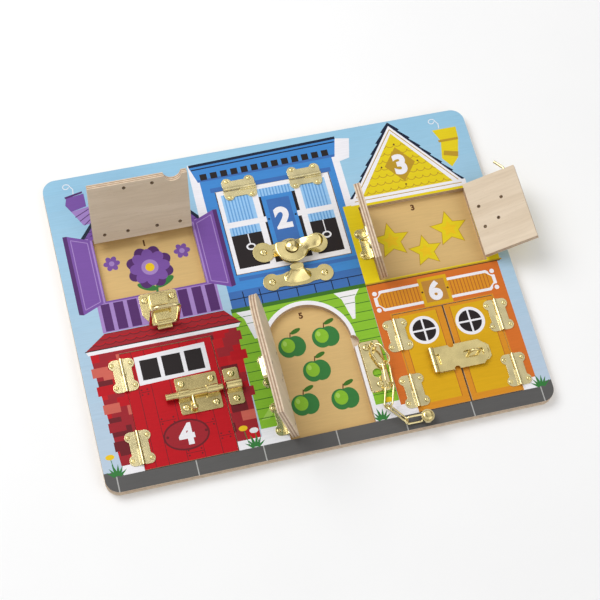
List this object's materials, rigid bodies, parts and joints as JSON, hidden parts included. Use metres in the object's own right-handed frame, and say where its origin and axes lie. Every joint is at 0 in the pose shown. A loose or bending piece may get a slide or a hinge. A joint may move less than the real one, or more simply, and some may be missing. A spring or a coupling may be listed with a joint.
{
  "type": "latch board",
  "caption": "Wooden toy board with printed house fronts whose doors open on brass hinges, each held by a different kind of latch.",
  "frame": {"origin": "centre of the board's underside, which lies on the table", "axes": "+X along the board's long side to the right of the prints, +Y up the prints towards the roofs, +Z out of the printed face"},
  "size_m": [0.4166, 0.2956, 0.0839],
  "materials": {
    "board_ply": "printed and varnished plywood, bare at the edges",
    "back_ply": "thin plywood",
    "door_ply": "plywood, printed in front and bare behind",
    "brass_hinges": "brass plated steel, bright",
    "brass_latches": "brass plated steel, bright",
    "brass_fixings": "brass plated steel, bright"
  },
  "bodies": {
    "board": {"front_board": "board_ply", "back_panel": "back_ply", "fixed_leaves_upper": "brass_hinges", "fixed_leaves_lower": "brass_hinges", "hinge_pins": "brass_fixings", "board_hinge_screws": "brass_fixings", "board_latch_screws": "brass_fixings", "draw_latch_base": "brass_latches", "draw_latch_pin": "brass_fixings", "sash_keeper": "brass_latches", "bolt_keeper": "brass_latches", "chain_anchor": "brass_latches"},
    "door_1": {"door_1_panel": "door_ply", "door_1_leaves": "brass_hinges", "door_1_screws": "brass_fixings", "latch_strike": "brass_latches"},
    "door_2": {"door_2_panel": "door_ply", "door_2_leaves": "brass_hinges", "door_2_screws": "brass_fixings", "sash_base": "brass_latches", "sash_rivet": "brass_fixings"},
    "door_3_left": {"door_3_left_panel": "door_ply", "door_3_left_leaf": "brass_hinges", "door_3_left_screws": "brass_fixings", "hook_eye": "brass_latches"},
    "door_3_right": {"door_3_right_panel": "door_ply", "door_3_right_leaf": "brass_hinges", "door_3_right_screws": "brass_fixings", "hook_plate": "brass_latches"},
    "door_4": {"door_4_panel": "door_ply", "door_4_leaves": "brass_hinges", "door_4_screws": "brass_fixings", "bolt_plate": "brass_latches"},
    "door_5": {"door_5_panel": "door_ply", "door_5_leaves": "brass_hinges", "door_5_screws": "brass_fixings", "chain_track": "brass_latches"},
    "door_6_left": {"door_6_left_panel": "door_ply", "door_6_left_leaves": "brass_hinges", "door_6_left_screws": "brass_fixings", "hasp_base": "brass_latches", "hasp_pin": "brass_fixings"},
    "door_6_right": {"door_6_right_panel": "door_ply", "door_6_right_leaves": "brass_hinges", "door_6_right_screws": "brass_fixings", "hasp_staple": "brass_latches"},
    "draw_lever": {"draw_latch_lever": "brass_latches"},
    "draw_bail": {"draw_latch_bail": "brass_latches"},
    "sash_cam": {"sash_cam": "brass_latches"},
    "hook": {"hook_arm": "brass_latches"},
    "bolt": {"bolt_rod": "brass_latches"},
    "hasp_strap": {"hasp_strap": "brass_latches"},
    "chain_ring": {"chain_ring": "brass_latches"},
    "chain_link_1": {"chain_link_1": "brass_latches"},
    "chain_link_2": {"chain_link_2": "brass_latches"},
    "chain_link_3": {"chain_link_3": "brass_latches"},
    "chain_end": {"chain_end_link": "brass_latches"}
  },
  "joints": [
    {"name": "door_1_hinge", "type": "hinge", "parent": "board", "child": "door_1", "pos_m": [-0.1192, 0.08325, 0.0101], "axis": [-1, 0, 0], "range_deg": [-115.7, 54]},
    {"name": "door_2_hinge", "type": "hinge", "parent": "board", "child": "door_2", "pos_m": [0.0055, 0.10755, 0.0101], "axis": [-1, 0, 0], "range_deg": [0, 170]},
    {"name": "door_3_left_hinge", "type": "hinge", "parent": "board", "child": "door_3_left", "pos_m": [0.0757, 0.02975, 0.0101], "axis": [0, -1, 0], "range_deg": [-105, 53]},
    {"name": "door_3_right_hinge", "type": "hinge", "parent": "board", "child": "door_3_right", "pos_m": [0.1759, 0.02975, 0.0101], "axis": [0, 1, 0], "range_deg": [-154, 11]},
    {"name": "door_4_hinge", "type": "hinge", "parent": "board", "child": "door_4", "pos_m": [-0.16295, -0.08075, 0.0101], "axis": [0, -1, 0], "range_deg": [0, 170]},
    {"name": "door_5_hinge", "type": "hinge", "parent": "board", "child": "door_5", "pos_m": [-0.038, -0.07525, 0.0101], "axis": [0, -1, 0], "range_deg": [-105, 55]},
    {"name": "door_6_left_hinge", "type": "hinge", "parent": "board", "child": "door_6_left", "pos_m": [0.0768, -0.08775, 0.0101], "axis": [0, -1, 0], "range_deg": [0, 135]},
    {"name": "door_6_right_hinge", "type": "hinge", "parent": "board", "child": "door_6_right", "pos_m": [0.1698, -0.08775, 0.0101], "axis": [0, 1, 0], "range_deg": [0, 135]},
    {"name": "draw_lever_tilt", "type": "hinge", "parent": "board", "child": "draw_lever", "pos_m": [-0.1192, 0.00535, 0.0127], "axis": [-1, 0, 0], "range_deg": [0, 110]},
    {"name": "draw_bail_swing", "type": "hinge", "parent": "draw_lever", "child": "draw_bail", "pos_m": [-0.1192, -0.00865, 0.0127], "axis": [1, 0, 0], "range_deg": [-85, 90]},
    {"name": "sash_cam_turn", "type": "hinge", "parent": "door_2", "child": "sash_cam", "pos_m": [0.0055, 0.03705, 0.017], "axis": [0, 0, 1], "range_deg": [0, 150]},
    {"name": "hook_turn", "type": "hinge", "parent": "door_3_right", "child": "hook", "pos_m": [0.20017, 0.02975, 0.01966], "axis": [0.4384, 0, -0.8988], "range_deg": [-20, 90]},
    {"name": "bolt_slide", "type": "slide", "parent": "door_4", "child": "bolt", "axis": [1, 0, 0], "range_m": [0, 0.0109]},
    {"name": "hasp_fold", "type": "hinge", "parent": "door_6_left", "child": "hasp_strap", "pos_m": [0.1002, -0.09205, 0.0115], "axis": [0, 1, 0], "range_deg": [-160, 0]},
    {"name": "chain_ring_swing", "type": "hinge", "parent": "board", "child": "chain_ring", "pos_m": [0.05159, -0.06843, 0.0159], "axis": [0, 0, -1], "range_deg": [-8, 8]},
    {"name": "chain_link_1_swing", "type": "hinge", "parent": "chain_ring", "child": "chain_link_1", "pos_m": [0.05773, -0.08625, 0.0159], "axis": [0, 0, 1], "range_deg": [-8, 8]},
    {"name": "chain_link_2_swing", "type": "hinge", "parent": "chain_link_1", "child": "chain_link_2", "pos_m": [0.05598, -0.10618, 0.01571], "axis": [0, 0, -1], "range_deg": [-8, 8]},
    {"name": "chain_link_3_swing", "type": "hinge", "parent": "chain_link_2", "child": "chain_link_3", "pos_m": [0.04948, -0.12507, 0.01477], "axis": [0, 0, 1], "range_deg": [-8, 8]},
    {"name": "chain_end_swing", "type": "hinge", "parent": "chain_link_3", "child": "chain_end", "pos_m": [0.06178, -0.14082, 0.01402], "axis": [0, 0, -1], "range_deg": [-8, 8]}
  ],
  "couplings": [
    {"joint": "door_6_right_hinge", "follows": "door_6_left_hinge", "ratio": 1}
  ]
}
